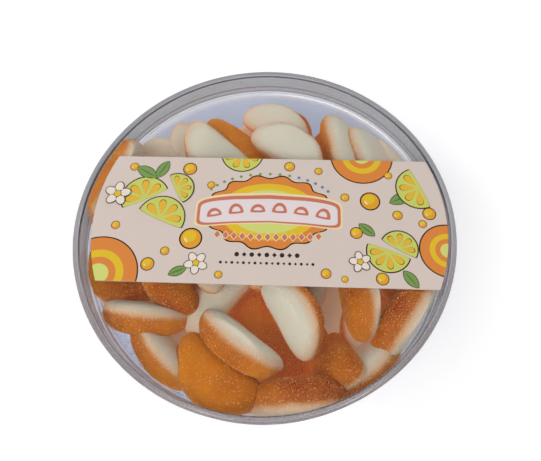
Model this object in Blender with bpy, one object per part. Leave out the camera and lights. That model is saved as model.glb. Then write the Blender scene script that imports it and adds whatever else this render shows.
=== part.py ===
"""A shut round tub of clear plastic, filled with two-layer orange-segment jelly sweets.

The base is a thin-walled cup, the lid a shallow cap with a raised rim and a straight skirt,
and a paper band with round ends is stuck across the lid. The sweets lie in two uneven layers.
Lengths are in millimetres until the meshes are made, and the origin is under the tub's middle.
"""
import math
import random

import bmesh
import bpy
from mathutils import Matrix, Vector

MM = 0.001

# Tub: driving sizes
TUB_RADIUS = 75.0
TUB_HEIGHT = 38.0
ROUND_STEPS = 72
CLEARANCE = 0.3
MERGE_DISTANCE = 1e-4

# Lid
LID_WALL = 0.8
RIM_WIDTH = 2.0
RIM_ROUND = 0.4
RIM_HEIGHT = 1.1
SKIRT_DEPTH = 12.4
SKIRT_DRAFT = 0.25
BEAD_HEIGHT = 3.0
PANEL_TOP = TUB_HEIGHT - RIM_HEIGHT
PANEL_UNDERSIDE = PANEL_TOP - LID_WALL
SKIRT_BOTTOM = TUB_HEIGHT - SKIRT_DEPTH

# Base
BASE_WALL = 1.0
NECK_OUTER = TUB_RADIUS - LID_WALL - CLEARANCE
NECK_INNER = NECK_OUTER - LID_WALL
NECK_TOP = PANEL_UNDERSIDE - CLEARANCE
LEDGE = 0.35
WALL_DRAFT = 1.9
CORNER_RADIUS = 3.5
FOOT_OUTER = NECK_OUTER - WALL_DRAFT - CORNER_RADIUS
FOOT_WIDTH = 9.0
FLOOR_LIFT = 1.0
FLOOR_SLOPE_SHIFT = 0.4

# Label
LABEL_RADIUS = 70.0
LABEL_WIDTH = 55.2
LABEL_THICKNESS = 0.3
LABEL_SHIFT = (1.9, 0.5)
LABEL_STEPS = 64

# One sweet: a half-moon, flat foam on one side and a jelly dome on the other
SWEET_LENGTH = 38.0
SWEET_WIDTH = 20.0
FOAM_DEPTH = 5.0
JELLY_DEPTH = 8.0
SWEET_BEND = 5.0
REACH_POWER = 0.6
HEIGHT_POWER = 0.8
END_POWER = 0.85
SIDE_POWER = 0.95
SWEET_STEPS = 12
SWEET_RINGS = 7
SWEET_MERGE = 0.02
SIZE_SPREAD = 0.05
SEED = 11

# Inside of the tub that the sweets keep to
INNER_GAP = 0.35
HEAP_FLOOR = FLOOR_LIFT + BASE_WALL + INNER_GAP
HEAP_CEILING = PANEL_UNDERSIDE - INNER_GAP
CORE_RADIUS = 58.0
CORE_BOTTOM = 6.0
CORE_TOP = 19.0

# Sweets seen through the lid: x, y, z of the middle, heading and climb of the long axis, the
# turn about it, where 0 has the foam on top and 180 underneath, and the size as a share of
# the usual one
UPPER_SWEETS = [
    (-15.5, -58.0, 25.0, -36.0, 4.0, 176.0, 1.03),
    (-8.0, -47.5, 27.0, 146.0, 3.0, 70.0, 0.97),
    (12.5, -35.2, 28.0, -60.0, -4.0, 50.0, 0.94),
    (-37.5, -50.5, 21.5, 133.0, 0.0, 70.0, 0.93),
    (-45.5, -37.5, 24.0, 174.0, 0.0, 68.0, 0.92),
    (-35.8, -19.5, 28.0, -70.0, -6.0, 160.0, 1.0),
    (-59.0, -20.0, 22.0, -20.0, 0.0, 165.0, 1.0),
    (-18.5, -9.0, 26.0, 75.0, 0.0, 8.0, 1.0),
    (29.3, -49.3, 19.5, -72.0, 52.0, 212.0, 0.92),
    (37.0, -26.5, 27.0, 98.0, 0.0, 98.0, 0.97),
    (55.0, -33.5, 25.0, 56.0, 0.0, 88.0, 1.05),
    (15.5, -64.8, 23.0, 6.0, 0.0, 95.0, 1.08),
    (-51.6, 36.5, 17.5, -8.0, 0.0, 10.0, 1.0),
    (-21.8, 35.5, 26.5, 148.0, 22.0, 0.0, 1.0),
    (-15.6, 45.0, 21.5, -35.0, 0.0, 172.0, 1.0),
    (4.0, 54.5, 21.0, -34.0, 0.0, 8.0, 0.93),
    (9.5, 37.0, 28.0, -38.0, 0.0, 4.0, 0.97),
    (32.5, 41.0, 24.0, -80.0, 0.0, -34.0, 0.97),
    (45.0, 35.5, 23.0, -75.0, 0.0, -30.0, 0.97),
    (57.0, 33.0, 18.0, -65.0, 0.0, -8.0, 1.0),
    (-68.0, 22.0, 28.0, 72.0, 0.0, 95.0, 1.18),
]

# Lower sweets that show between the upper ones
DEEP_SWEETS = [
    (-17.0, -27.0, 20.0, 53.0, 0.0, -6.0, 1.05),
    (-32.0, -39.0, 13.5, 140.0, 0.0, 8.0, 1.0),
    (3.5, -43.0, 14.0, -52.0, 0.0, 176.0, 1.0),
    (-8.5, -28.0, 9.5, 62.0, 0.0, 178.0, 1.05),
    (20.0, -14.5, 22.0, 82.0, 0.0, 12.0, 0.9),
    (15.5, -32.5, 15.5, -62.0, 0.0, 168.0, 0.95),
    (29.5, -28.0, 12.5, 75.0, 0.0, 5.0, 1.0),
    (42.0, -39.5, 12.0, 98.0, 0.0, 35.0, 1.0),
    (55.5, -19.0, 11.0, 78.0, 0.0, 175.0, 1.0),
    (39.5, -52.0, 19.0, 218.0, 0.0, 56.0, 1.0),
    (16.0, -52.0, 9.5, 20.0, 0.0, 178.0, 1.0),
    (7.5, 50.5, 15.5, 66.0, 0.0, 176.0, 1.0),
    (25.0, 46.0, 14.0, 55.0, 0.0, 160.0, 1.0),
    (-32.5, 42.0, 18.0, 140.0, 12.0, 4.0, 0.95),
]

# Sweets under the label
HIDDEN_SWEETS = [
    (-42.0, 12.0, 25.0, 20.0, 0.0, 20.0, 1.0),
    (-12.0, 18.0, 24.0, 0.0, 0.0, 186.0, 1.0),
    (4.0, -8.0, 26.0, 60.0, 0.0, -12.0, 1.0),
    (20.0, 12.0, 24.0, -40.0, 0.0, 172.0, 1.0),
    (27.0, -6.0, 25.0, 35.0, 0.0, 8.0, 1.0),
    (40.0, 14.0, 24.0, 5.0, 0.0, -10.0, 1.0),
    (60.0, 8.0, 24.0, 80.0, 0.0, 20.0, 1.0),
    (53.0, -8.0, 22.0, 100.0, 0.0, 195.0, 1.0),
]

# Lower layer: rings of sweets, each with its count, radius, height and first angle
LOWER_RINGS = [(11, 56.5, 9.5, 6.0), (6, 30.0, 9.5, 20.0), (2, 9.0, 9.5, 70.0)]
LOWER_LEAN = 12.0
LOWER_SWING = 16.0
LOWER_ROOM = 17.0


def material(name, colour, roughness, metallic=0.0, transmission=0.0):
    """A plain Principled finish."""
    made = bpy.data.materials.new(name)
    made.use_nodes = True
    shader = made.node_tree.nodes["Principled BSDF"]
    shader.inputs["Base Color"].default_value = (*colour, 1.0)
    shader.inputs["Roughness"].default_value = roughness
    shader.inputs["Metallic"].default_value = metallic
    shader.inputs["Transmission Weight"].default_value = transmission
    return made


def put_in_scene(name, shape, finish):
    """Make a named object of a bmesh that is in millimetres."""
    bmesh.ops.scale(shape, vec=(MM, MM, MM), verts=shape.verts)
    mesh = bpy.data.meshes.new(name)
    shape.to_mesh(mesh)
    shape.free()
    mesh.materials.append(finish)
    thing = bpy.data.objects.new(name, mesh)
    bpy.context.scene.collection.objects.link(thing)
    return thing


def arc(centre, radius, start, end, steps):
    """Points of a round stretch of a profile, from one angle to another in degrees."""
    points = []
    for step in range(steps + 1):
        angle = math.radians(start + (end - start) * step / steps)
        points.append((centre[0] + radius * math.cos(angle), centre[1] + radius * math.sin(angle)))
    return points


def turned(profile):
    """Spin a closed profile of (radius, height) points, both ends on the axis, into a shell."""
    shape = bmesh.new()
    ring = [shape.verts.new((radius, 0.0, height)) for radius, height in profile]
    edges = [shape.edges.new(pair) for pair in zip(ring, ring[1:])]
    bmesh.ops.spin(shape, geom=ring + edges, cent=(0, 0, 0), axis=(0, 0, 1), angle=math.tau,
                   steps=ROUND_STEPS, use_merge=True)
    bmesh.ops.remove_doubles(shape, verts=shape.verts, dist=MERGE_DISTANCE)
    bmesh.ops.recalc_face_normals(shape, faces=shape.faces)
    return shape


def smooth(thing, degrees=30.0):
    """Shade a turned piece smooth, with its sharp corners kept."""
    thing.data.shade_smooth()
    thing.data.set_sharp_from_angle(angle=math.radians(degrees))


def make_base(finish):
    """The cup: raised floor, foot ring, round corner, drafted wall and straight neck."""
    corner = (FOOT_OUTER, CORNER_RADIUS)
    foot_inner = FOOT_OUTER - FOOT_WIDTH
    ledge_height = SKIRT_BOTTOM - CLEARANCE
    body_inner = NECK_INNER - LEDGE
    profile = [(0.0, FLOOR_LIFT), (foot_inner - FLOOR_LIFT, FLOOR_LIFT), (foot_inner, 0.0)]
    profile += arc(corner, CORNER_RADIUS, -90.0, 0.0, 3)
    profile += [(NECK_OUTER, ledge_height), (NECK_OUTER, NECK_TOP), (NECK_INNER, NECK_TOP)]
    profile += [(NECK_INNER, ledge_height + LEDGE), (body_inner, ledge_height)]
    profile += arc(corner, CORNER_RADIUS - BASE_WALL, 0.0, -90.0, 3)
    profile += [(foot_inner + FLOOR_SLOPE_SHIFT, BASE_WALL)]
    profile += [(foot_inner - FLOOR_LIFT + FLOOR_SLOPE_SHIFT, FLOOR_LIFT + BASE_WALL)]
    profile += [(0.0, FLOOR_LIFT + BASE_WALL)]
    smooth(put_in_scene("tub_base", turned(profile), finish))


def make_lid(finish):
    """The cap: flat panel, raised round-topped rim, skirt with a bead along its lower edge."""
    rim_inner = TUB_RADIUS - RIM_WIDTH
    bead_top = SKIRT_BOTTOM + BEAD_HEIGHT
    skirt_outer = TUB_RADIUS - SKIRT_DRAFT
    skirt_inner = TUB_RADIUS - LID_WALL
    profile = [(0.0, PANEL_TOP), (rim_inner, PANEL_TOP), (rim_inner, TUB_HEIGHT - RIM_ROUND)]
    profile += [(rim_inner + RIM_ROUND, TUB_HEIGHT), (TUB_RADIUS - RIM_ROUND, TUB_HEIGHT)]
    profile += [(TUB_RADIUS, TUB_HEIGHT - RIM_ROUND), (skirt_outer, bead_top)]
    profile += [(TUB_RADIUS, bead_top - RIM_ROUND), (TUB_RADIUS, SKIRT_BOTTOM + RIM_ROUND)]
    profile += [(TUB_RADIUS - RIM_ROUND, SKIRT_BOTTOM), (skirt_inner, SKIRT_BOTTOM)]
    profile += [(skirt_inner, PANEL_UNDERSIDE), (0.0, PANEL_UNDERSIDE)]
    smooth(put_in_scene("tub_lid", turned(profile), finish))


def make_label(finish):
    """The paper band: a disc cut off straight along both long sides."""
    shape = bmesh.new()
    bottom = PANEL_TOP + CLEARANCE
    bmesh.ops.create_circle(shape, cap_ends=True, radius=LABEL_RADIUS, segments=LABEL_STEPS)
    for side in (-1.0, 1.0):
        everything = shape.verts[:] + shape.edges[:] + shape.faces[:]
        bmesh.ops.bisect_plane(shape, geom=everything, plane_co=(0, side * LABEL_WIDTH / 2, 0),
                               plane_no=(0, side, 0), clear_outer=True)
    raised = bmesh.ops.extrude_face_region(shape, geom=shape.faces[:])
    moved = [part for part in raised["geom"] if isinstance(part, bmesh.types.BMVert)]
    bmesh.ops.translate(shape, vec=(0, 0, LABEL_THICKNESS), verts=moved)
    bmesh.ops.recalc_face_normals(shape, faces=shape.faces)
    bmesh.ops.translate(shape, vec=(*LABEL_SHIFT, bottom), verts=shape.verts)
    put_in_scene("label", shape, finish)


def signed_power(value, power):
    """A power that keeps the sign."""
    return math.copysign(abs(value) ** power, value)


def sweet_point(unit, size):
    """Where a point of the unit sphere goes on a sweet that lies with its foam on top."""
    flat = max(1e-6, math.hypot(unit.x, unit.y))
    reach = flat ** REACH_POWER
    depth = FOAM_DEPTH if unit.z > 0.0 else JELLY_DEPTH
    height = depth * signed_power(unit.z, HEIGHT_POWER)
    along = reach * signed_power(unit.x / flat, END_POWER)
    across = reach * signed_power(unit.y / flat, SIDE_POWER)
    bend = SWEET_BEND * (0.5 - along * along)
    x = along * SWEET_LENGTH / 2
    y = across * SWEET_WIDTH / 2 + bend
    middle = (FOAM_DEPTH - JELLY_DEPTH) / 2
    return Vector((x, y, height - middle)) * size


def inner_radius(height):
    """How far from the axis a sweet may reach at a height."""
    body_inner = NECK_INNER - LEDGE
    foot_radius = FOOT_OUTER + CORNER_RADIUS - BASE_WALL
    share = (height - CORNER_RADIUS) / (SKIRT_BOTTOM - CORNER_RADIUS)
    share = max(0.0, min(1.0, share))
    return foot_radius + (body_inner - foot_radius) * share - INNER_GAP


def keep_inside(point):
    """Press a point that would pass through the tub back onto its inside."""
    point.z = max(HEAP_FLOOR, min(HEAP_CEILING, point.z))
    radius = math.hypot(point.x, point.y)
    limit = inner_radius(point.z)
    if radius > limit:
        point.x *= limit / radius
        point.y *= limit / radius
    return point


def lower_layer(draw):
    """Places of the sweets on the floor of the tub, in rings with a seeded unevenness."""
    places = []
    for count, radius, height, first in LOWER_RINGS:
        for index in range(count):
            angle = math.radians(first + 360.0 * index / count)
            x, y = radius * math.cos(angle), radius * math.sin(angle)
            heading = math.degrees(angle) + 90.0 + draw.uniform(-LOWER_SWING, LOWER_SWING)
            turn = draw.choice((0.0, 180.0)) + draw.uniform(-LOWER_LEAN, LOWER_LEAN)
            size = draw.uniform(1 - SIZE_SPREAD, 1 + SIZE_SPREAD)
            if all(math.hypot(x - near[0], y - near[1]) > LOWER_ROOM for near in DEEP_SWEETS):
                places.append((x, y, height, heading, 0.0, turn, size))
    return places


def make_sweet(place):
    """One sweet as a small closed mesh, set in its place and kept inside the tub."""
    x, y, z, heading, climb, turn, size = place
    pose = Matrix.Rotation(math.radians(heading), 4, "Z")
    pose = pose @ Matrix.Rotation(math.radians(-climb), 4, "Y")
    pose = pose @ Matrix.Rotation(math.radians(turn), 4, "X")
    shape = bmesh.new()
    bmesh.ops.create_uvsphere(shape, u_segments=SWEET_STEPS, v_segments=SWEET_RINGS, radius=1.0)
    for vert in shape.verts:
        vert.co = keep_inside(pose @ sweet_point(vert.co, size) + Vector((x, y, z)))
    bmesh.ops.remove_doubles(shape, verts=shape.verts, dist=SWEET_MERGE)
    return shape


def keep_largest_body(mesh):
    """Drop loose scraps and fill sealed hollows: only the shell with most faces stays."""
    shape = bmesh.new()
    shape.from_mesh(mesh)
    left = set(shape.faces)
    shells = []
    while left:
        reached = [left.pop()]
        shell = []
        while reached:
            face = reached.pop()
            shell.append(face)
            for edge in face.edges:
                for beside in edge.link_faces:
                    if beside in left:
                        left.remove(beside)
                        reached.append(beside)
        shells.append(shell)
    largest = max(shells, key=len)
    scraps = [face for shell in shells if shell is not largest for face in shell]
    bmesh.ops.delete(shape, geom=scraps, context="FACES")
    bmesh.ops.triangulate(shape, faces=shape.faces)
    shape.to_mesh(mesh)
    shape.free()


def make_heap(finish):
    """All the sweets fused to a smaller core, as one body."""
    core = bmesh.new()
    bmesh.ops.create_cone(core, cap_ends=True, cap_tris=False, segments=ROUND_STEPS // 2,
                          radius1=CORE_RADIUS, radius2=CORE_RADIUS, depth=CORE_TOP - CORE_BOTTOM)
    bmesh.ops.translate(core, vec=(0, 0, (CORE_TOP + CORE_BOTTOM) / 2), verts=core.verts)
    heap = put_in_scene("gummy_heap", core, finish)
    pieces = bpy.data.collections.new("sweets")
    for place in UPPER_SWEETS + DEEP_SWEETS + HIDDEN_SWEETS + lower_layer(random.Random(SEED)):
        pieces.objects.link(put_in_scene("sweet", make_sweet(place), finish))
    fuse = heap.modifiers.new("fuse", "BOOLEAN")
    fuse.operation = "UNION"
    fuse.operand_type = "COLLECTION"
    fuse.collection = pieces
    fuse.solver = "MANIFOLD"
    fused = bpy.data.meshes.new_from_object(heap.evaluated_get(bpy.context.evaluated_depsgraph_get()))
    heap.modifiers.clear()
    heap.data = fused
    for sweet in pieces.objects[:]:
        bpy.data.objects.remove(sweet)
    bpy.data.collections.remove(pieces)
    keep_largest_body(heap.data)


def main():
    for thing in bpy.data.objects[:]:
        bpy.data.objects.remove(thing)
    clear = material("clear plastic", (0.85, 0.87, 0.92), 0.05, transmission=1.0)
    make_base(clear)
    make_lid(material("clear lid plastic", (0.87, 0.89, 0.93), 0.05, transmission=1.0))
    make_label(material("label paper", (0.80, 0.70, 0.64), 0.55))
    make_heap(material("sugared jelly", (0.80, 0.36, 0.08), 0.45))


main()
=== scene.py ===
import math
import random

import bmesh
import bpy
import numpy as np
from mathutils import Matrix, Vector, noise


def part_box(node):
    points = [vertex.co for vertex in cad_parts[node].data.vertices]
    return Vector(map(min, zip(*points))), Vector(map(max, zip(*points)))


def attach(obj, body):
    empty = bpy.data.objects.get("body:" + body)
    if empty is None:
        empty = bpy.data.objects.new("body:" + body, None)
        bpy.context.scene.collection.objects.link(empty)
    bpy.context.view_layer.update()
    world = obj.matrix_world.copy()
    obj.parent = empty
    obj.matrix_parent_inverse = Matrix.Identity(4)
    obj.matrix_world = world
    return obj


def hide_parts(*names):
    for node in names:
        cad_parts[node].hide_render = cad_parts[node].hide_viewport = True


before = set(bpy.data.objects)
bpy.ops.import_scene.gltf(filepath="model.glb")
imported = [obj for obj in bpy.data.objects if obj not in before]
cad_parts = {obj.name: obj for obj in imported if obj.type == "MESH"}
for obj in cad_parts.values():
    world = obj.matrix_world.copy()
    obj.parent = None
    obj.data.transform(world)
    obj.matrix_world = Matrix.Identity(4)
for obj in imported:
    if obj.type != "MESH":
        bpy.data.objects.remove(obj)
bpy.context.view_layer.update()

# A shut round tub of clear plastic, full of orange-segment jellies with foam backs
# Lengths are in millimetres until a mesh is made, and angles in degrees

MM = 0.001
PHOTO_WIDTH = 541
BODY = "root"

# Tub sizes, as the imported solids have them
lid_low, lid_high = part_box("tub_lid")
base_low, base_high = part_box("tub_base")
label_low, label_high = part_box("label")
TUB_RADIUS = lid_high.x / MM
TUB_HEIGHT = lid_high.z / MM
SKIRT_BOTTOM = lid_low.z / MM
NECK_OUTER = base_high.x / MM
NECK_TOP = base_high.z / MM
LABEL_TOP = label_high.z / MM
LABEL_WIDTH = (label_high.y - label_low.y) / MM
LABEL_RADIUS = (label_high.x - label_low.x) / MM / 2
LABEL_SHIFT = ((label_high.x + label_low.x) / MM / 2, (label_high.y + label_low.y) / MM / 2)

# Lid
LID_WALL = 0.8
RIM_WIDTH = 2.0
RIM_STEP = 0.45
RIM_ROUND = 0.4
RIM_HEIGHT = 1.1
SKIRT_DRAFT = 0.25
BEAD_HEIGHT = 3.0
PANEL_TOP = TUB_HEIGHT - RIM_HEIGHT
PANEL_UNDERSIDE = PANEL_TOP - LID_WALL

# Base
BASE_WALL = 1.0
NECK_INNER = NECK_OUTER - LID_WALL
LEDGE = 0.35
LEDGE_ROUND = 2.4
LEDGE_OUT = 0.42
LEDGE_DOWN = 0.9
LEDGE_HEIGHT = SKIRT_BOTTOM - 0.3
# Low and high edge of a band of the neck tinted dark, a painted shaded line under the lid's edge
PAINTED_LINE_LOW = LEDGE_HEIGHT + 4.0
PAINTED_LINE_HIGH = LEDGE_HEIGHT + 4.8
WALL_DRAFT = 1.9
CORNER_RADIUS = 3.5
FOOT_OUTER = NECK_OUTER - WALL_DRAFT - CORNER_RADIUS
FOOT_WIDTH = 9.0
FLOOR_LIFT = 1.0
ROUND_STEPS = 192
FLOOR_SLOPE_SHIFT = 0.4
MERGE_DISTANCE = 1e-4
SHARP_ANGLE = 25.0

# Clear plastic: haze and bend of its zones, roughness where clear and where hazed, the tints that
# shadows take, and the stretch from the near side over which the rim's painted reflection fades
WALL_HAZE = 0.12
FIRM_HAZE = 0.3
WALL_BEND = 1.25
LID_BEND = 1.35
LEDGE_BEND = 2.2
CLEAR_ROUGHNESS = 0.03
HAZED_ROUGHNESS = 0.16
WALL_SHADE = (0.92, 0.93, 0.96, 1.0)
RIM_SHADE = (0.95, 0.95, 0.96, 1.0)
EDGE_SHADE = (0.9, 0.9, 0.91, 1.0)
PAINTED_REFLECTION_SPAN = (-0.07, 0.02)

# One sweet
SWEET_LENGTH = 38.0
SWEET_WIDTH = 20.0
FOAM_DEPTH = 5.0
JELLY_DEPTH = 8.0
SWEET_BEND = 5.0
REACH_POWER = 0.6
HEIGHT_POWER = 0.8
END_POWER = 0.85
SIDE_POWER = 0.95
SIZE_SPREAD = 0.05
LUMP_SIZE = 9.0
LUMP_HEIGHT = 0.45
SWEET_CUTS = 13
FOAM_LINE = 0.4
# Painted light: the deeper a point of a sweet, the more it glows orange and the warmer its foam, standing in
# for light that comes through the jelly above
PAINTED_LIGHT_TOP = 29.0
PAINTED_LIGHT_DEPTH = 18.0
JELLY_PAINTED_GLOW = (0.28, 0.07, 0.018, 1.0)
FOAM_PAINTED_GLOW = (0.28, 0.16, 0.09, 1.0)
NO_GLOW = (0.0, 0.0, 0.0, 1.0)
SWEET_COLOURS = {
    "deep": (144, 50, 0), "golden": (214, 130, 0), "speckle": (216, 130, 32), "frost": (222, 146, 72),
    "sheen": (255, 192, 118), "seam": (206, 146, 90), "foam": (216, 212, 193), "foam in painted warm light": (214, 186, 156),
    "blush": (214, 160, 112), "pores": (178, 160, 134),
}
BLUSH_START = 0.72
TONE_DRIFT = 0.5
GRAIN_RADIUS = (0.14, 0.34)
JELLY_GRAINS = 24000
BRIGHT_GRAINS = 3500
FOAM_GRAINS = 16000
SEED = 11

# Inside of the tub that the sweets keep to
INNER_GAP = 0.2
HEAP_FLOOR = FLOOR_LIFT + BASE_WALL + INNER_GAP
HEAP_CEILING = PANEL_UNDERSIDE - INNER_GAP

# Print of the band: colours as they look in the photograph's light, and loose drops as x, y
# and radius from the middle of the band
PAPER_TOP = LABEL_TOP - 0.1
INK_STEP = 0.015
OUTLINE = 0.48
PAPER_UNEVENNESS = 0.04
MEDALLION = (0.0, 3.0)
INK_COLOURS = {
    "paper": (204, 191, 181), "line": (44, 33, 28), "orange": (208, 126, 54), "gold": (213, 180, 34),
    "lime": (198, 204, 112), "rind": (190, 196, 96), "flesh": (216, 172, 48), "leaf": (112, 146, 74),
    "petal": (222, 212, 198), "amber": (214, 150, 40), "cream": (226, 206, 160), "white": (218, 208, 208),
    "terracotta": (190, 112, 88), "blue": (84, 126, 160),
}
DROPS = [
    (-57.0, 22.5, 1.7), (-33.5, 22.0, 2.6), (-24.0, 14.5, 1.5), (-60.5, -4.5, 1.6), (-30.0, -9.5, 4.0),
    (-39.5, -15.0, 1.6), (-45.5, -20.5, 2.4), (-18.0, -24.0, 1.4), (22.5, -22.5, 1.8), (30.5, 10.0, 1.6),
    (40.5, 8.5, 3.6), (48.5, 20.5, 1.5), (20.0, 22.0, 1.5), (51.0, 2.5, 1.8), (34.5, -5.5, 2.2),
    (60.5, -1.0, 1.5), (43.5, -24.0, 2.2), (63.5, 3.5, 2.4), (29.5, -24.5, 1.2), (8.0, 24.0, 2.0),
]

# Sweets seen through the lid: x, y, z of the middle, heading and climb of the long axis, the
# turn about it, where 0 has the foam on top and 180 underneath, the size as a share of the
# usual one, and the tone of the jelly from deep orange to golden
UPPER_SWEETS = [
    (-15.5, -58.0, 25.0, -36.0, 4.0, 176.0, 1.03, 1.0),
    (-8.0, -47.5, 27.0, 146.0, 3.0, 70.0, 0.97, 0.5),
    (12.5, -35.2, 28.0, -60.0, -4.0, 50.0, 0.94, 0.4),
    (-37.5, -50.5, 21.5, 133.0, 0.0, 70.0, 0.93, 0.4),
    (-45.5, -37.5, 24.0, 174.0, 0.0, 68.0, 0.92, 0.5),
    (-35.8, -19.5, 28.0, -70.0, -6.0, 160.0, 1.0, 0.6),
    (-59.0, -20.0, 22.0, -20.0, 0.0, 165.0, 1.0, 0.5),
    (-18.5, -9.0, 26.0, 75.0, 0.0, 8.0, 1.0, 0.4),
    (29.3, -49.3, 19.5, -72.0, 52.0, 212.0, 0.92, 0.7),
    (37.0, -26.5, 27.0, 98.0, 0.0, 98.0, 0.97, 0.3),
    (55.0, -33.5, 25.0, 56.0, 0.0, 88.0, 1.05, 0.05),
    (15.5, -64.8, 23.0, 6.0, 0.0, 95.0, 1.08, 0.0),
    (-51.6, 36.5, 17.5, -8.0, 0.0, 10.0, 1.0, 0.5),
    (-21.8, 35.5, 26.5, 148.0, 22.0, 0.0, 1.0, 0.5),
    (-15.6, 45.0, 21.5, -35.0, 0.0, 172.0, 1.0, 1.0),
    (4.0, 54.5, 21.0, -34.0, 0.0, 8.0, 0.93, 0.5),
    (9.5, 37.0, 28.0, -38.0, 0.0, 4.0, 0.97, 0.5),
    (32.5, 41.0, 24.0, -80.0, 0.0, -34.0, 0.97, 0.5),
    (45.0, 35.5, 23.0, -75.0, 0.0, -30.0, 0.97, 0.5),
    (57.0, 33.0, 18.0, -65.0, 0.0, -8.0, 1.0, 0.5),
    (-68.0, 22.0, 28.0, 72.0, 0.0, 95.0, 1.18, 0.9),
]

# Lower sweets that show between the upper ones
DEEP_SWEETS = [
    (-17.0, -27.0, 20.0, 53.0, 0.0, -6.0, 1.05, 0.4),
    (-32.0, -39.0, 13.5, 140.0, 0.0, 8.0, 1.0, 0.4),
    (3.5, -43.0, 14.0, -52.0, 0.0, 176.0, 1.0, 0.5),
    (-8.5, -28.0, 9.5, 62.0, 0.0, 178.0, 1.05, 0.1),
    (20.0, -14.5, 22.0, 82.0, 0.0, 12.0, 0.9, 0.4),
    (15.5, -32.5, 15.5, -62.0, 0.0, 168.0, 0.95, 0.4),
    (29.5, -28.0, 12.5, 75.0, 0.0, 5.0, 1.0, 0.4),
    (42.0, -39.5, 12.0, 98.0, 0.0, 35.0, 1.0, 0.3),
    (55.5, -19.0, 11.0, 78.0, 0.0, 175.0, 1.0, 0.3),
    (39.5, -52.0, 19.0, 218.0, 0.0, 56.0, 1.0, 0.2),
    (16.0, -52.0, 9.5, 20.0, 0.0, 178.0, 1.0, 0.5),
    (7.5, 50.5, 15.5, 66.0, 0.0, 176.0, 1.0, 0.5),
    (25.0, 46.0, 14.0, 55.0, 0.0, 160.0, 1.0, 0.4),
    (-32.5, 42.0, 18.0, 140.0, 12.0, 4.0, 0.95, 0.6),
]

# Sweets under the label
HIDDEN_SWEETS = [
    (-42.0, 12.0, 25.0, 20.0, 0.0, 20.0, 1.0, 0.5),
    (-12.0, 18.0, 24.0, 0.0, 0.0, 186.0, 1.0, 0.5),
    (4.0, -8.0, 26.0, 60.0, 0.0, -12.0, 1.0, 0.5),
    (20.0, 12.0, 24.0, -40.0, 0.0, 172.0, 1.0, 0.5),
    (27.0, -6.0, 25.0, 35.0, 0.0, 8.0, 1.0, 0.5),
    (40.0, 14.0, 24.0, 5.0, 0.0, -10.0, 1.0, 0.5),
    (60.0, 8.0, 24.0, 80.0, 0.0, 20.0, 1.0, 0.5),
    (53.0, -8.0, 22.0, 100.0, 0.0, 195.0, 1.0, 0.5),
]

# Lower layer: rings of sweets, each with its count, radius, height and first angle
LOWER_RINGS = [(11, 56.5, 9.5, 6.0), (6, 30.0, 9.5, 20.0), (2, 9.0, 9.5, 70.0)]
LOWER_LEAN = 12.0
LOWER_SWING = 16.0
LOWER_ROOM = 17.0

# Sky, floor and lamps
SKY_STRENGTH = 0.9
DIM_STRENGTH = 0.14
FLOOR_GLOW = 0.3
DIM_DIRECTION = (-0.03, 0.42, 0.907)
DIM_SPREAD = (0.55, 0.85)
FLOOR_REACH = 1500.0
LAMP_AIM = (0.0, 0.0, 0.02)

# Camera, fitted to the outline of the lid and the corners of the band in the photograph
VIEW_AZIMUTH = 4.575
VIEW_ELEVATION = 65.97
VIEW_ROLL = -2.815
VIEW_DISTANCE = 2.441 * TUB_RADIUS
VIEW_SHIFT_RIGHT = 0.037 * TUB_RADIUS
VIEW_SHIFT_UP = -0.063 * TUB_RADIUS
FOCAL_PIXELS = 463.5
SENSOR_WIDTH = 36.0


class Socket:
    """A shader output that can be used in sums."""

    def __init__(self, paint, link):
        self.paint = paint
        self.link = link

    def maths(self, operation, first, second=0.0):
        return self.paint.node("Math", {"operation": operation}, {0: first, 1: second})

    def __add__(self, other):
        return self.maths("ADD", self, other)

    def __sub__(self, other):
        return self.maths("SUBTRACT", self, other)

    def __mul__(self, other):
        return self.maths("MULTIPLY", self, other)

    def __rsub__(self, other):
        return self.maths("SUBTRACT", other, self)

    def between(self, low, high):
        """0 under low, 1 over high, and smooth in between."""
        return self.paint.node("MapRange", {"interpolation_type": "SMOOTHSTEP"},
                               {"Value": self, "From Min": low, "From Max": high})


class Paint:
    """The nodes of one material, or of the world."""

    def __init__(self, owner):
        self.owner = owner
        owner.use_nodes = True
        self.tree = owner.node_tree
        self.tree.nodes.clear()

    def node(self, kind, settings=None, sockets=None, output=0):
        """Add a node: its settings first, then the values or links of its sockets."""
        made = self.tree.nodes.new("ShaderNode" + kind)
        for name, value in (settings or {}).items():
            setattr(made, name, value)
        for name, value in (sockets or {}).items():
            if isinstance(value, Socket):
                self.tree.links.new(value.link, made.inputs[name])
            else:
                made.inputs[name].default_value = value
        return Socket(self, made.outputs[output]) if len(made.outputs) else made

    def place(self):
        """Object coordinates, in metres."""
        return self.node("TexCoord", output=3)

    def held(self, name):
        """A value that the mesh holds at each point."""
        return self.node("Attribute", {"attribute_name": name}, output=2)

    def grain(self, size, detail=2.0, rough=0.5):
        """Noise with features about as large as size, in millimetres."""
        return self.node("TexNoise", None, {"Vector": self.place(), "Scale": 1.0 / (size * MM),
                                            "Detail": detail, "Roughness": rough})

    def blend(self, share, first, second):
        """A colour between two, by a share."""
        return self.node("Mix", {"data_type": "RGBA"}, {0: share, 6: first, 7: second}, output=2)

    def bump(self, height, depth, strength):
        """Relief that a height makes, with its depth in millimetres."""
        return self.node("Bump", None, {"Height": height, "Distance": depth * MM, "Strength": strength})

    def shader(self, **sockets):
        """A Principled shader, its sockets named with _ for a space."""
        named = {name.replace("_", " "): value for name, value in sockets.items()}
        named = {name.replace("Ior", "IOR"): value for name, value in named.items()}
        return self.node("BsdfPrincipled", None, named)

    def finish(self, shader, kind="OutputMaterial"):
        self.node(kind, None, {"Surface": shader})
        return self.owner


def new_paint(name):
    return Paint(bpy.data.materials.new(name))


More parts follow.
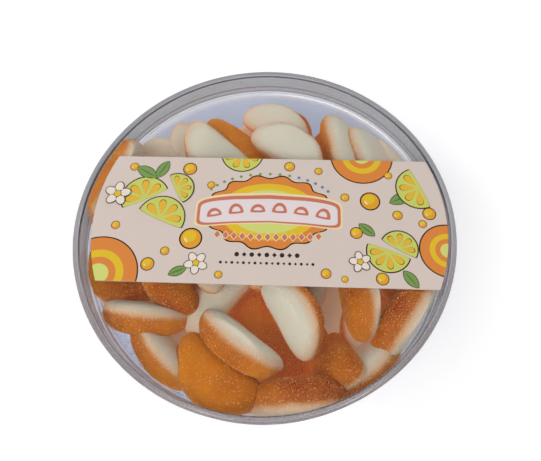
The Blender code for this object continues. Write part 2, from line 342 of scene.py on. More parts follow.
def colour(red, green, blue):
    """A colour as seen on screen, 0 to 255, as the linear values that shaders take."""
    linear = []
    for part in (red, green, blue):
        part /= 255.0
        linear.append(part / 12.92 if part <= 0.04045 else ((part + 0.055) / 1.055) ** 2.4)
    return (*linear, 1.0)


# What the photograph's light makes of a white surface, so that an ink's own colour follows
LIGHT_ON_PAPER = colour(229, 231, 230)
INKS = {}
for title, seen in INK_COLOURS.items():
    INKS[title] = tuple(part / light for part, light in zip(colour(*seen), LIGHT_ON_PAPER))


# Finishes

def clear_plastic(name, tint, shade, haze=0.0, bend=1.5, near=None):
    """Clear moulded plastic that bends light; lamps shine through it by a tinted short cut."""
    paint = new_paint(name)
    # A near tint is a painted reflection: darker and warmer towards the near side, for the sweets mirrored in
    # the rim
    if near:
        across = paint.node("SeparateXYZ", None, {0: paint.place()}, output=1)
        tint = paint.blend(across.between(*PAINTED_REFLECTION_SPAN), near, tint)
    ripple = paint.bump(paint.grain(16.0, 1.0), 0.04, 0.05 if haze else 0.25)
    glass = paint.shader(Base_Color=tint, Roughness=HAZED_ROUGHNESS if haze else CLEAR_ROUGHNESS,
                         Ior=bend, Transmission_Weight=1.0 - haze, Normal=ripple)
    passed = paint.node("BsdfTransparent", None, {"Color": shade})
    is_shadow = paint.node("LightPath", output=1)
    return paint.finish(paint.node("MixShader", None, {0: is_shadow, 1: glass, 2: passed}))


def sweet_finish():
    """Sugared orange jelly that blends into a cream foam back."""
    paint = new_paint("sugared jelly and foam")
    seen = {name: colour(*shade) for name, shade in SWEET_COLOURS.items()}
    layer = paint.held("layer")
    tone = paint.held("tone")
    painted_warm_light = paint.held("painted_warm_light")
    frost = paint.grain(0.6, 2.0, 0.7)
    drift = paint.grain(5.0, 1.0)
    cloud = paint.grain(11.0, 2.0)
    foam_share = (layer + (drift - 0.5) * 1.4 + (frost - 0.5) * 2.4).between(-0.9, 1.0)
    golden = (tone + (cloud - 0.5) * 1.6).between(-0.3, 1.3)
    clouded = paint.blend(golden, seen["deep"], seen["golden"])
    speckled = paint.blend(frost.between(0.42, 0.64) * 0.5, clouded, seen["speckle"])
    # Near its outline the jelly pales towards the frost colour: partly its sugar frost, partly a painted
    # sheen
    frost_and_painted_sheen = paint.blend(paint.held("blush").between(0.5, 1.1) * 0.2, speckled, seen["frost"])
    edge = (layer + (drift - 0.5) * 1.5 + (frost - 0.5) * 1.2).between(0.0, 2.2)
    # Painted warm light: foam lower in the heap is coloured peach
    pale = paint.blend(painted_warm_light, seen["foam"], seen["foam in painted warm light"])
    blushed = paint.blend(paint.held("blush") * 0.7, pale, seen["blush"])
    seamed = paint.blend(edge, seen["seam"], blushed)
    foam = paint.blend(frost.between(0.35, 0.65) * 0.15, seamed, seen["pores"])
    # Painted glow: deeper sweets give off a faint warm light of their own
    painted_jelly_glow = paint.blend(painted_warm_light, NO_GLOW, JELLY_PAINTED_GLOW)
    painted_foam_glow = paint.blend(painted_warm_light, NO_GLOW, FOAM_PAINTED_GLOW)
    jelly_shader = paint.shader(Base_Color=frost_and_painted_sheen, Roughness=0.55, Subsurface_Weight=0.6,
                                Subsurface_Radius=(1.0, 0.35, 0.08), Subsurface_Scale=1.5 * MM,
                                Specular_IOR_Level=0.15, Normal=paint.bump(frost, 0.6, 0.9),
                                Emission_Color=painted_jelly_glow, Emission_Strength=1.0, Sheen_Weight=0.5,
                                Sheen_Roughness=0.35, Sheen_Tint=seen["sheen"])
    foam_shader = paint.shader(Base_Color=foam, Roughness=0.8, Subsurface_Weight=0.5,
                               Subsurface_Radius=(1.0, 0.65, 0.4), Subsurface_Scale=1.2 * MM,
                               Specular_IOR_Level=0.2, Normal=paint.bump(frost, 0.3, 0.5),
                               Emission_Color=painted_foam_glow, Emission_Strength=1.0)
    return paint.finish(paint.node("MixShader", None, {0: foam_share, 1: jelly_shader, 2: foam_shader}))


def sugar_finish(name, tint):
    """Small bright crystals that take up some of the colour under them."""
    paint = new_paint(name)
    return paint.finish(paint.shader(Base_Color=tint, Roughness=0.15))


def paper_finish(name, ink):
    """Smooth printed paper with a faint tooth and a soft sheen."""
    paint = new_paint(name)
    tooth = paint.grain(0.5, 2.0)
    worn = tuple(part * (1.0 - 2.0 * PAPER_UNEVENNESS) for part in ink[:3]) + (1.0,)
    shade = paint.blend(paint.grain(18.0, 2.0), worn, ink)
    return paint.finish(paint.shader(Base_Color=shade, Roughness=0.45, Normal=paint.bump(tooth, 0.02, 0.3)))


def floor_finish():
    """A plain pale surface."""
    paint = new_paint("pale floor")
    shade = paint.blend(paint.grain(60.0, 2.0), colour(246, 246, 247), colour(249, 249, 250))
    return paint.finish(paint.shader(Base_Color=shade, Roughness=0.6, Emission_Color=colour(255, 255, 255),
                                     Emission_Strength=FLOOR_GLOW))


# Shapes

def put_in_scene(name, shape, finishes, replaced=()):
    """Make a piece of a bmesh in millimetres, and let it ride on the tub."""
    bmesh.ops.scale(shape, vec=(MM, MM, MM), verts=shape.verts)
    mesh = bpy.data.meshes.new(name)
    shape.to_mesh(mesh)
    shape.free()
    for finish in finishes:
        mesh.materials.append(finish)
    piece = bpy.data.objects.new(name, mesh)
    bpy.context.scene.collection.objects.link(piece)
    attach(piece, BODY)
    if replaced:
        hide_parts(*replaced)
    return piece


def arc(centre, radius, start, end, steps):
    """Points of a round stretch of a profile, from one angle to another."""
    points = []
    for step in range(steps + 1):
        angle = math.radians(start + (end - start) * step / steps)
        points.append((centre[0] + radius * math.cos(angle), centre[1] + radius * math.sin(angle)))
    return points


def turned(profile):
    """Spin a closed profile of (radius, height) points, both ends on the axis, into a shell."""
    shape = bmesh.new()
    ring = [shape.verts.new((radius, 0.0, height)) for radius, height in profile]
    edges = [shape.edges.new(pair) for pair in zip(ring, ring[1:])]
    bmesh.ops.spin(shape, geom=ring + edges, cent=(0, 0, 0), axis=(0, 0, 1), angle=math.tau,
                   steps=ROUND_STEPS, use_merge=True)
    bmesh.ops.remove_doubles(shape, verts=shape.verts, dist=MERGE_DISTANCE)
    bmesh.ops.recalc_face_normals(shape, faces=shape.faces)
    return shape


def smooth(piece):
    piece.data.shade_smooth()
    piece.data.set_sharp_from_angle(angle=math.radians(SHARP_ANGLE))


def zoned(shape, zones):
    """Give faces their finish by zones: finish, least and most radius, least and most height."""
    for face in shape.faces:
        middle = face.calc_center_median()
        radius = math.hypot(middle.x, middle.y)
        for finish, inner, outer, low, high in zones:
            if inner < radius < outer and low < middle.z < high:
                face.material_index = finish
    return shape


def ledge_circle():
    """Radius and height of the middle of the round that forms the ledge."""
    return NECK_INNER + LEDGE_OUT * LEDGE_ROUND, LEDGE_HEIGHT + 0.4 - LEDGE_DOWN * LEDGE_ROUND


def make_base():
    """The cup: raised floor, foot ring, round corner, drafted wall and straight neck."""
    corner = (FOOT_OUTER, CORNER_RADIUS)
    foot_inner = FOOT_OUTER - FOOT_WIDTH
    body_inner = NECK_INNER - LEDGE
    profile = [(0.0, FLOOR_LIFT), (foot_inner - FLOOR_LIFT, FLOOR_LIFT), (foot_inner, 0.0)]
    profile += arc(corner, CORNER_RADIUS, -90.0, 0.0, 8)
    profile += [(NECK_OUTER, LEDGE_HEIGHT), (NECK_OUTER, NECK_TOP - 0.2), (NECK_OUTER - 0.2, NECK_TOP)]
    profile += [(NECK_INNER + 0.2, NECK_TOP), (NECK_INNER, NECK_TOP - 0.2)]
    profile += [(NECK_INNER, PAINTED_LINE_HIGH), (NECK_INNER, PAINTED_LINE_LOW), (NECK_INNER, LEDGE_HEIGHT + 1.0)]
    profile += arc(ledge_circle(), LEDGE_ROUND, 115.0, 160.0, 10)
    profile += [(body_inner, LEDGE_HEIGHT - LEDGE_ROUND - 1.0)]
    profile += arc(corner, CORNER_RADIUS - BASE_WALL, 0.0, -90.0, 8)
    profile += [(foot_inner + FLOOR_SLOPE_SHIFT, BASE_WALL),
                (foot_inner - FLOOR_LIFT + FLOOR_SLOPE_SHIFT, FLOOR_LIFT + BASE_WALL)]
    profile += [(0.0, FLOOR_LIFT + BASE_WALL)]
    # The floor and wall tints are a faint blue of the plastic, darkened further as painted shade inside the
    # tub
    flat = clear_plastic("clear base plastic", (0.70, 0.73, 0.83, 1.0), (0.90, 0.93, 0.97, 1.0))
    wall = clear_plastic("base wall plastic", (0.54, 0.60, 0.72, 1.0), WALL_SHADE, WALL_HAZE, WALL_BEND)
    ledge = clear_plastic("base ledge plastic", (0.88, 0.89, 0.92, 1.0), WALL_SHADE, FIRM_HAZE, LEDGE_BEND)
    neck = clear_plastic("base neck plastic", (0.75, 0.78, 0.80, 1.0), WALL_SHADE, WALL_HAZE, WALL_BEND)
    # Painted shade: a dark tint for the band of the neck between the line heights
    line = clear_plastic("base painted dark line plastic", (0.42, 0.40, 0.41, 1.0), EDGE_SHADE, WALL_HAZE, WALL_BEND)
    zones = [(1, foot_inner, TUB_RADIUS, 0.0, TUB_HEIGHT),
             (2, foot_inner, NECK_INNER - 0.02, LEDGE_HEIGHT - LEDGE_ROUND - 0.5, LEDGE_HEIGHT + 0.55),
             (3, foot_inner, TUB_RADIUS, LEDGE_HEIGHT + 0.6, TUB_HEIGHT),
             (4, foot_inner, NECK_INNER + 0.02, PAINTED_LINE_LOW, PAINTED_LINE_HIGH)]
    shell = zoned(turned(profile), zones)
    smooth(put_in_scene("clear_base", shell, [flat, wall, ledge, neck, line], ["tub_base"]))


def make_lid():
    """The cap: flat panel, raised round-topped rim, skirt with a bead along its lower edge."""
    rim_inner = TUB_RADIUS - RIM_WIDTH
    bead_top = SKIRT_BOTTOM + BEAD_HEIGHT
    skirt_outer = TUB_RADIUS - SKIRT_DRAFT
    skirt_inner = TUB_RADIUS - LID_WALL
    profile = [(0.0, PANEL_TOP), (rim_inner - RIM_STEP, PANEL_TOP), (rim_inner, TUB_HEIGHT - RIM_ROUND)]
    profile += arc((rim_inner + RIM_ROUND, TUB_HEIGHT - RIM_ROUND), RIM_ROUND, 180.0, 90.0, 4)
    profile += arc((TUB_RADIUS - RIM_ROUND, TUB_HEIGHT - RIM_ROUND), RIM_ROUND, 90.0, 0.0, 4)
    profile += [(skirt_outer, bead_top)]
    profile += arc((TUB_RADIUS - RIM_ROUND, bead_top - RIM_ROUND), RIM_ROUND, 50.0, 0.0, 3)
    profile += arc((TUB_RADIUS - RIM_ROUND, SKIRT_BOTTOM + RIM_ROUND), RIM_ROUND, 0.0, -90.0, 4)
    profile += [(skirt_inner, SKIRT_BOTTOM), (skirt_inner, PANEL_UNDERSIDE), (0.0, PANEL_UNDERSIDE)]
    flat = clear_plastic("clear lid plastic", (0.975, 0.975, 0.98, 1.0), (0.97, 0.97, 0.975, 1.0))
    wall = clear_plastic("lid skirt plastic", (0.52, 0.51, 0.53, 1.0), RIM_SHADE, WALL_HAZE, LID_BEND)
    # The skirt's lower edge is tinted nearly black, a painted dark line for the shade that its rounding makes
    # by bending light
    bead = clear_plastic("lid edge painted dark line", (0.16, 0.15, 0.16, 1.0), EDGE_SHADE)
    # The rim's second tint is a painted reflection of the sweets on its near side
    ring = clear_plastic("lid rim plastic", (0.80, 0.79, 0.83, 1.0), RIM_SHADE, FIRM_HAZE, LID_BEND,
                         (0.52, 0.45, 0.44, 1.0))
    over = TUB_HEIGHT + 1.0
    zones = [(1, rim_inner - 1.0, TUB_RADIUS, 0.0, over), (3, rim_inner, TUB_RADIUS - 0.3, PANEL_TOP, over),
             (2, rim_inner - RIM_STEP, TUB_RADIUS, SKIRT_BOTTOM - 0.1, SKIRT_BOTTOM + 2 * RIM_ROUND),
             (2, rim_inner - RIM_STEP, rim_inner, PANEL_TOP + 0.05, TUB_HEIGHT - RIM_ROUND)]
    shell = zoned(turned(profile), zones)
    smooth(put_in_scene("clear_lid", shell, [flat, wall, bead, ring], ["tub_lid"]))


def band_sheet(radius, width, low, high):
    """A disc cut off straight along both long sides, as thick as low to high."""
    shape = bmesh.new()
    bmesh.ops.create_circle(shape, cap_ends=True, radius=radius, segments=ROUND_STEPS)
    for side in (-1.0, 1.0):
        everything = shape.verts[:] + shape.edges[:] + shape.faces[:]
        bmesh.ops.bisect_plane(shape, geom=everything, plane_co=(0, side * width / 2, 0),
                               plane_no=(0, side, 0), clear_outer=True)
    raised = bmesh.ops.extrude_face_region(shape, geom=shape.faces[:])
    moved = [part for part in raised["geom"] if isinstance(part, bmesh.types.BMVert)]
    bmesh.ops.translate(shape, vec=(0, 0, high - low), verts=moved)
    bmesh.ops.recalc_face_normals(shape, faces=shape.faces)
    bmesh.ops.translate(shape, vec=(*LABEL_SHIFT, low), verts=shape.verts)
    return shape


def make_label():
    """The paper band across the lid."""
    shape = band_sheet(LABEL_RADIUS, LABEL_WIDTH, PANEL_TOP + 0.05, PAPER_TOP)
    paper = paper_finish("label paper", INKS["paper"])
    put_in_scene("label_band", shape, [paper], ["label"])


class Print:
    """Flat motifs on the band, each a thin closed plate, the later ones on top."""

    def __init__(self):
        self.sheet = bmesh.new()
        self.inks = [ink for ink in INKS if ink != "paper"]

    def stamp(self, ink, level, place, size, turn=0.0, form=None, steps=40):
        """Press one shape onto the print: a circle, or what its form makes of one."""
        made = bmesh.ops.create_circle(self.sheet, cap_ends=True, radius=1.0, segments=steps)["verts"]
        spin = Matrix.Rotation(math.radians(turn), 3, "Z")
        wide, high = size if isinstance(size, tuple) else (size, size)
        for vert in made:
            flat = form(vert.co.x, vert.co.y) if form else (vert.co.x, vert.co.y)
            point = spin @ Vector((flat[0] * wide, flat[1] * high, 0.0)) + Vector((*place, 0.0))
            point.y = max(-LABEL_WIDTH / 2, min(LABEL_WIDTH / 2, point.y))
            reach = math.hypot(point.x, point.y)
            point *= min(1.0, LABEL_RADIUS / reach)
            vert.co = point + Vector((*LABEL_SHIFT, PAPER_TOP - INK_STEP))
        faces = {face for vert in made for face in vert.link_faces}
        for face in faces:
            face.material_index = self.inks.index(ink)
        raised = bmesh.ops.extrude_face_region(self.sheet, geom=list(faces))
        moved = [part for part in raised["geom"] if isinstance(part, bmesh.types.BMVert)]
        bmesh.ops.translate(self.sheet, vec=(0, 0, (level + 1) * INK_STEP), verts=moved)

    def outlined(self, ink, level, place, size, turn=0.0, form=None, steps=40, line=OUTLINE):
        """A shape with a dark line round it."""
        wide, high = size if isinstance(size, tuple) else (size, size)
        self.stamp("line", level, place, (wide + line, high + line), turn, form, steps)
        self.stamp(ink, level + 1, place, (wide, high), turn, form, steps)

    def finish(self):
        bmesh.ops.recalc_face_normals(self.sheet, faces=self.sheet.faces)
        finishes = [paper_finish(f"{ink} ink", INKS[ink]) for ink in self.inks]
        put_in_scene("label_print", self.sheet, finishes, ["label"])


def half_moon(x, y):
    return x, y if y >= 0.0 else y * 0.1


def segment(x, y):
    """A drop with its tip at the origin and its round end at 1."""
    along = 0.5 + 0.5 * x
    return along, y * (0.12 + 0.88 * along) * 0.5


def leaf_form(x, y):
    return x, y * abs(y) ** 0.6


def scalloped(x, y):
    reach = 1.0 + 0.05 * math.cos(14.0 * math.atan2(y, x))
    return x * reach, y * reach


def ribbon_form(x, y):
    """A bar with round corners that arches upwards."""
    wide = signed_power(x, 0.25)
    return wide, signed_power(y, 0.3) + 0.45 * (1.0 - wide * wide)


def lozenge(x, y):
    share = abs(x) + abs(y)
    return x / share, y / share


def draw_wedge(art, place, radius, turn, level=0):
    """Half a slice of citrus: rind, flesh and four segments."""
    art.outlined("rind", level, place, radius, turn, half_moon)
    for index in range(4):
        angle = turn + 22.0 + 45.3 * index
        tip = Vector((math.cos(math.radians(angle)), math.sin(math.radians(angle)))) * radius * 0.16
        middle = (place[0] + tip.x, place[1] + tip.y)
        art.outlined("flesh", level + 2, middle, (radius * 0.68, radius * 0.42), angle, segment, 28, 0.3)


def draw_leaf(art, place, length, turn):
    """A leaf with a midrib, growing from its stalk."""
    angle = math.radians(turn)
    middle = (place[0] + math.cos(angle) * length / 2, place[1] + math.sin(angle) * length / 2)
    art.outlined("leaf", 0, middle, (length / 2, length * 0.24), turn, leaf_form, 28, 0.28)
    art.stamp("line", 2, middle, (length * 0.42, 0.14), turn, leaf_form, 20)


def draw_blossom(art, place, radius, turn, level=0):
    """Five pale petals round a yellow heart."""
    for layer, ink in ((0, "line"), (1, "petal")):
        for index in range(5):
            angle = math.radians(turn + 72.0 * index)
            middle = (place[0] + math.cos(angle) * radius * 0.56, place[1] + math.sin(angle) * radius * 0.56)
            grown = 0.3 * (1 - layer)
            size = (radius * 0.46 + grown, radius * 0.32 + grown)
            art.stamp(ink, level + layer, middle, size, math.degrees(angle), None, 28)
    art.outlined("gold", level + 2, place, radius * 0.26, 0.0, None, 20, 0.2)


def draw_sun(art, place, radius):
    """Rings of orange, gold and pale yellow, one inside the other."""
    art.outlined("orange", 0, place, radius, 0.0, None, 72)
    art.stamp("gold", 2, place, radius * 0.66, 0.0, None, 60)
    art.stamp("orange", 3, place, radius * 0.46, 0.0, None, 48)
    art.stamp("lime", 4, place, radius * 0.28, 0.0, None, 40)


def draw_drop(art, place, radius):
    """A round orange drop with a soft halo, a golden upper side and a glint."""
    art.stamp("cream", 0, place, radius * 1.14, 0.0, None, 28)
    art.stamp("amber", 1, place, radius, 0.0, None, 28)
    upper = (place[0] - radius * 0.12, place[1] + radius * 0.24)
    art.stamp("gold", 2, upper, (radius * 0.68, radius * 0.6), 20.0, None, 24)
    glint = (place[0] - radius * 0.46, place[1] - radius * 0.2)
    art.stamp("cream", 3, glint, (radius * 0.28, radius * 0.12), 120.0, None, 16)


def draw_medallion(art):
    """The scalloped middle motif, with a plain white ribbon of half-moons across it."""
    art.outlined("orange", 0, MEDALLION, (24.0, 15.6), 0.0, scalloped, 168, 0.55)
    art.stamp("gold", 2, MEDALLION, (19.6, 12.6), 0.0, None, 72)
    art.stamp("lime", 3, MEDALLION, (15.4, 9.8), 0.0, None, 64)
    ribbon = (MEDALLION[0], MEDALLION[1] - 1.5)
    art.stamp("cream", 4, ribbon, (29.4, 6.9), 0.0, ribbon_form, 96)
    art.stamp("terracotta", 5, ribbon, (28.6, 6.1), 0.0, ribbon_form, 96)
    art.stamp("white", 6, ribbon, (27.4, 4.9), 0.0, ribbon_form, 96)
    for index in range(6):
        across = (index - 2.5) / 2.5
        middle = (ribbon[0] + across * 21.5, ribbon[1] - 0.9 + 2.2 * (1.0 - across * across))
        size = (3.0, 4.2) if index % 2 else (3.0, 3.4)
        art.stamp("terracotta", 7, middle, size, -12.0 * across, half_moon, 32)
        art.stamp("white", 8, (middle[0], middle[1] + 0.7), (1.7, size[1] - 2.1), -12.0 * across,
                  half_moon, 28)
    for index in range(15):
        angle = math.radians(150.0 - 120.0 * index / 14)
        middle = (MEDALLION[0] + 27.5 * math.cos(angle), MEDALLION[1] + 2.0 + 15.2 * math.sin(angle))
        art.stamp("leaf" if index < 10 else "blue", 5, middle, 0.62, 0.0, None, 16)
    for index in range(13):
        middle = (MEDALLION[0] + (index - 6) * 3.3, MEDALLION[1] - 11.2 + 0.02 * (index - 6) ** 2)
        art.stamp("cream", 5, middle, (1.55, 1.9), 0.0, lozenge, 16)
        art.stamp("terracotta", 6, middle, (1.15, 1.5), 0.0, lozenge, 16)
    for row, (count, step, high) in enumerate(((9, 2.9, 0.95), (17, 2.2, 0.6))):
        for index in range(count):
            middle = (MEDALLION[0] + (index - (count - 1) / 2) * step, MEDALLION[1] - 18.6 - 3.4 * row)
            art.stamp("line", 1, middle, (high * 0.95, high), 0.0, lozenge if index % 2 else None, 16)


def make_print():
    """The motifs of the band: half slices, leaves, blossoms, suns and drops."""
    art = Print()
    draw_medallion(art)
    draw_sun(art, (-64.0, -25.0), 15.0)
    draw_sun(art, (38.0, 29.5), 12.5)
    draw_sun(art, (69.0, -12.0), 10.5)
    draw_leaf(art, (-47.0, 17.5), 10.0, 150.0)
    draw_leaf(art, (-47.0, 17.5), 9.0, 62.0)
    draw_wedge(art, (-50.5, 8.0), 9.5, 28.0)
    draw_wedge(art, (-43.0, -1.0), 9.5, -24.0, 6)
    draw_wedge(art, (-38.0, 12.5), 6.8, -62.0, 12)
    draw_blossom(art, (-62.0, 9.5), 5.2, 12.0, 18)
    draw_wedge(art, (-12.0, 30.0), 8.5, 178.0)
    draw_leaf(art, (57.0, 12.0), 9.5, 205.0)
    draw_wedge(art, (60.5, 15.0), 9.0, 112.0, 6)
    draw_wedge(art, (46.5, -13.0), 8.2, 160.0)
    draw_wedge(art, (50.5, -11.5), 7.0, -30.0, 6)
    draw_leaf(art, (41.5, -6.5), 7.5, 140.0)
    draw_blossom(art, (35.5, -17.5), 4.0, 30.0, 12)
    draw_blossom(art, (-27.0, -19.5), 4.4, 50.0)
    draw_leaf(art, (-30.5, -21.5), 7.0, 205.0)
    draw_leaf(art, (56.5, -27.0), 8.0, 128.0)
    for x, y, radius in DROPS:
        draw_drop(art, (x, y), radius)
    art.finish()


def signed_power(value, power):
    return math.copysign(abs(value) ** power, value)


def sweet_point(unit, scale):
    """Where a point of the unit sphere goes on a sweet that lies with its foam on top."""
    flat = max(1e-6, math.hypot(unit.x, unit.y))
    reach = flat ** REACH_POWER
    depth = FOAM_DEPTH if unit.z > 0.0 else JELLY_DEPTH
    height = depth * signed_power(unit.z, HEIGHT_POWER)
    along = reach * signed_power(unit.x / flat, END_POWER)
    across = reach * signed_power(unit.y / flat, SIDE_POWER)
    bend = SWEET_BEND * (0.5 - along * along)
    x = along * SWEET_LENGTH / 2
    y = across * SWEET_WIDTH / 2 + bend
    middle = (FOAM_DEPTH - JELLY_DEPTH) / 2
    blush = max(0.0, (reach - BLUSH_START) / (1.0 - BLUSH_START)) ** 1.5
    return Vector((x, y, height - middle)) * scale, height, blush, along


def inner_radius(height):
    """How far from the axis a sweet may reach at a height."""
    body_inner = NECK_INNER - LEDGE
    foot_radius = FOOT_OUTER + CORNER_RADIUS - BASE_WALL
    share = (height - CORNER_RADIUS) / (SKIRT_BOTTOM - CORNER_RADIUS)
    share = max(0.0, min(1.0, share))
    limit = foot_radius + (body_inner - foot_radius) * share
    middle, level = ledge_circle()
    rise = height - level
    if abs(rise) < LEDGE_ROUND:
        limit = min(limit, middle - math.sqrt(LEDGE_ROUND ** 2 - rise ** 2))
    return limit - INNER_GAP


def keep_inside(point):
    """Press a point that would pass through the tub back onto its inside."""
    point.z = max(HEAP_FLOOR, min(HEAP_CEILING, point.z))
    radius = math.hypot(point.x, point.y)
    limit = inner_radius(point.z)
    if radius > limit:
        point.x *= limit / radius
        point.y *= limit / radius
    return point


def lower_layer(draw):
    """Places of the sweets on the floor of the tub, in rings with a seeded unevenness."""
    places = []
    for count, radius, height, first in LOWER_RINGS:
        for index in range(count):
            angle = math.radians(first + 360.0 * index / count)
            x, y = radius * math.cos(angle), radius * math.sin(angle)
            heading = math.degrees(angle) + 90.0 + draw.uniform(-LOWER_SWING, LOWER_SWING)
            turn = draw.choice((0.0, 180.0)) + draw.uniform(-LOWER_LEAN, LOWER_LEAN)
            size = draw.uniform(1 - SIZE_SPREAD, 1 + SIZE_SPREAD)
            if all(math.hypot(x - near[0], y - near[1]) > LOWER_ROOM for near in DEEP_SWEETS):
                places.append((x, y, height, heading, 0.0, turn, size, 0.4))
    return places


def make_sweet(name, place, finish):
    """One sweet, set in its place and kept inside the tub."""
    x, y, z, heading, climb, turn, size, tone = place
    pose = Matrix.Rotation(math.radians(heading), 4, "Z")
    pose = pose @ Matrix.Rotation(math.radians(-climb), 4, "Y")
    pose = pose @ Matrix.Rotation(math.radians(turn), 4, "X")
    shape = bmesh.new()
    bmesh.ops.create_cube(shape, size=2.0)
    bmesh.ops.subdivide_edges(shape, edges=shape.edges, cuts=SWEET_CUTS, use_grid_fill=True)
    layers = shape.verts.layers.float.new("layer")
    tones = shape.verts.layers.float.new("tone")
    painted_warm_lights = shape.verts.layers.float.new("painted_warm_light")
    blushes = shape.verts.layers.float.new("blush")
    middle = Vector((x, y, z))
    for vert in shape.verts:
        point, height, blush, along = sweet_point(vert.co.normalized(), size)
        outward = Vector((point.x, point.y, 2.0 * point.z)).normalized()
        lump = noise.noise((point + middle) / LUMP_SIZE)
        vert.co = keep_inside(pose @ (point + outward * lump * LUMP_HEIGHT) + middle)
        vert[layers] = height
        vert[tones] = tone - TONE_DRIFT * along
        vert[blushes] = blush
        # Share of painted warm light: none at the top of the heap, full at the given depth below it
        vert[painted_warm_lights] = max(0.0, min(1.0, (PAINTED_LIGHT_TOP - vert.co.z) / PAINTED_LIGHT_DEPTH))
    piece = put_in_scene(name, shape, [finish], ["gummy_heap"])
    piece.data.shade_smooth()
    return piece


def make_sweets():
    places = UPPER_SWEETS + DEEP_SWEETS + HIDDEN_SWEETS + lower_layer(random.Random(SEED))
    finish = sweet_finish()
    return [make_sweet(f"sweet_{index + 1:02}", place, finish) for index, place in enumerate(places)]


def surface_spots(sweets, count, draw, on_foam):
    """Random places on the sweets, even by area, on the foam or on the jelly."""
    corners = []
    for sweet in sweets:
        mesh = sweet.data
        mesh.calc_loop_triangles()
        points = np.empty(len(mesh.vertices) * 3)
        mesh.vertices.foreach_get("co", points)
        heights = np.empty(len(mesh.vertices))
        mesh.attributes["layer"].data.foreach_get("value", heights)
        faces = np.empty(len(mesh.loop_triangles) * 3, int)
        mesh.loop_triangles.foreach_get("vertices", faces)
        faces = faces.reshape(-1, 3)
        kept = (heights[faces].mean(axis=1) > FOAM_LINE) == on_foam
        corners.append(points.reshape(-1, 3)[faces[kept]])
    corners = np.concatenate(corners)
    first, second, third = corners[:, 0], corners[:, 1], corners[:, 2]
    area = np.linalg.norm(np.cross(second - first, third - first), axis=1)
    chosen = draw.choice(len(corners), count, p=area / area.sum())
    share = draw.random((count, 2))
    share[share.sum(axis=1) > 1] = 1 - share[share.sum(axis=1) > 1]
    along, across = share[:, :1], share[:, 1:]
    return first[chosen] + along * (second - first)[chosen] + across * (third - first)[chosen]


def make_sugar(name, sweets, count, on_foam, tint):
    """Sugar crystals half sunk in the sweets: one small octahedron, repeated and turned at random."""
    draw = np.random.default_rng(count)
    middles = surface_spots(sweets, count, draw, on_foam)
    crystal = np.array([(1, 0, 0), (0, 1, 0), (-1, 0, 0), (0, -1, 0), (0, 0, 1), (0, 0, -1)], float)
    sides = np.array([(0, 1, 4), (1, 2, 4), (2, 3, 4), (3, 0, 4), (1, 0, 5), (2, 1, 5), (3, 2, 5), (0, 3, 5)])
    turns, _ = np.linalg.qr(draw.normal(size=(count, 3, 3)))
    turns *= np.linalg.det(turns)[:, None, None]
    sizes = draw.uniform(*GRAIN_RADIUS, (count, 1, 3)) * MM
    points = middles[:, None, :] + (crystal[None] * sizes) @ turns
    reach = np.hypot(points[..., 0], points[..., 1])
    points[..., :2] *= np.minimum(1.0, NECK_INNER * MM / reach)[..., None]
    faces = sides[None] + 6 * np.arange(count)[:, None, None]
    mesh = bpy.data.meshes.new(name)
    mesh.from_pydata(points.reshape(-1, 3).tolist(), [], faces.reshape(-1, 3).tolist())
    mesh.materials.append(sugar_finish(name + " crystals", tint))
    piece = bpy.data.objects.new(name, mesh)
    bpy.context.scene.collection.objects.link(piece)
    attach(piece, BODY)
    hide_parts("gummy_heap")


# Stage, light and camera

def make_floor():
    shape = bmesh.new()
    bmesh.ops.create_grid(shape, x_segments=1, y_segments=1, size=FLOOR_REACH)
    bmesh.ops.scale(shape, vec=(MM, MM, MM), verts=shape.verts)
    mesh = bpy.data.meshes.new("floor")
    shape.to_mesh(mesh)
    shape.free()
    mesh.materials.append(floor_finish())
    floor = bpy.data.objects.new("floor", mesh)
    bpy.context.scene.collection.objects.link(floor)


def area_light(name, place, aim, width, height, power, tint=(1.0, 1.0, 1.0)):
    """A soft lamp that looks at a point, in metres and watts."""
    lamp = bpy.data.lights.new(name, "AREA")
    lamp.shape = "RECTANGLE"
    lamp.size = width
    lamp.size_y = height
    lamp.energy = power
    lamp.color = tint
    holder = bpy.data.objects.new(name, lamp)
    holder.location = place
    holder.rotation_euler = (Vector(aim) - Vector(place)).to_track_quat("-Z", "Y").to_euler()
    bpy.context.scene.collection.objects.link(holder)


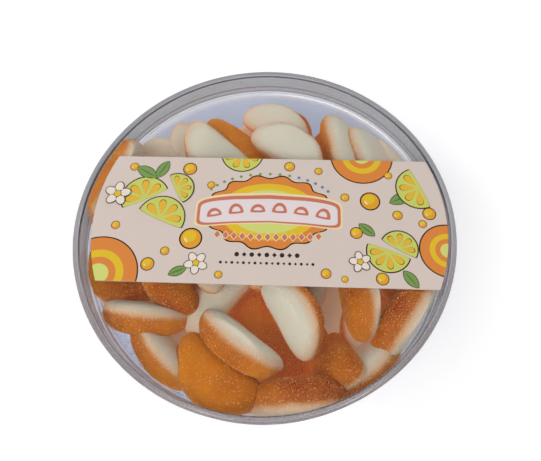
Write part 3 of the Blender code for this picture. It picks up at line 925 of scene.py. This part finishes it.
def make_sky():
    """Even soft light from all round, dimmer above and behind, where the flat lid mirrors it."""
    paint = Paint(bpy.data.worlds.new("studio"))
    direction = paint.node("TexCoord")
    towards = paint.node("VectorMath", {"operation": "DOT_PRODUCT"}, {0: direction, 1: DIM_DIRECTION},
                         output=1)
    strength = SKY_STRENGTH - towards.between(*DIM_SPREAD) * (SKY_STRENGTH - DIM_STRENGTH)
    background = paint.node("Background", None, {"Color": (0.92, 0.925, 0.95, 1.0), "Strength": strength})
    bpy.context.scene.world = paint.finish(background, "OutputWorld")


def make_light():
    make_sky()
    area_light("key", (-0.42, -0.40, 0.62), LAMP_AIM, 0.9, 0.3, 2.6, (1.0, 0.98, 0.95))
    area_light("back", (-0.35, 0.75, 0.45), LAMP_AIM, 0.5, 0.5, 1.5, (1.0, 0.98, 0.96))
    area_light("right", (0.75, 0.15, 0.50), LAMP_AIM, 0.5, 0.5, 1.1, (1.0, 0.98, 0.95))
    bpy.context.scene.view_settings.view_transform = "Standard"


def make_camera():
    """The photograph's camera: close above the tub, a little in front and to the right."""
    azimuth = math.radians(VIEW_AZIMUTH)
    elevation = math.radians(VIEW_ELEVATION)
    roll = math.radians(VIEW_ROLL)
    back = Vector((math.sin(azimuth) * math.cos(elevation), -math.cos(azimuth) * math.cos(elevation),
                   math.sin(elevation)))
    level = Vector((math.cos(azimuth), math.sin(azimuth), 0.0))
    upward = back.cross(level)
    right = level * math.cos(roll) + upward * math.sin(roll)
    top = upward * math.cos(roll) - level * math.sin(roll)
    place = right * VIEW_SHIFT_RIGHT + top * VIEW_SHIFT_UP + back * VIEW_DISTANCE
    place += Vector((0.0, 0.0, TUB_HEIGHT))
    lens = bpy.data.cameras.new("camera")
    lens.sensor_width = SENSOR_WIDTH
    lens.lens = FOCAL_PIXELS / PHOTO_WIDTH * SENSOR_WIDTH
    lens.clip_start = 0.01
    camera = bpy.data.objects.new("camera", lens)
    turn = Matrix((right, top, back)).transposed().to_4x4()
    camera.matrix_world = Matrix.Translation(place * MM) @ turn
    bpy.context.scene.collection.objects.link(camera)
    bpy.context.scene.camera = camera


make_camera()
make_floor()
make_light()
make_base()
make_lid()
make_label()
make_print()
sweets = make_sweets()
make_sugar("sugar_on_jelly", sweets, JELLY_GRAINS, False, colour(234, 164, 90))
make_sugar("bright_sugar", sweets, BRIGHT_GRAINS, False, colour(244, 206, 154))
make_sugar("sugar_on_foam", sweets, FOAM_GRAINS, True, colour(226, 220, 204))
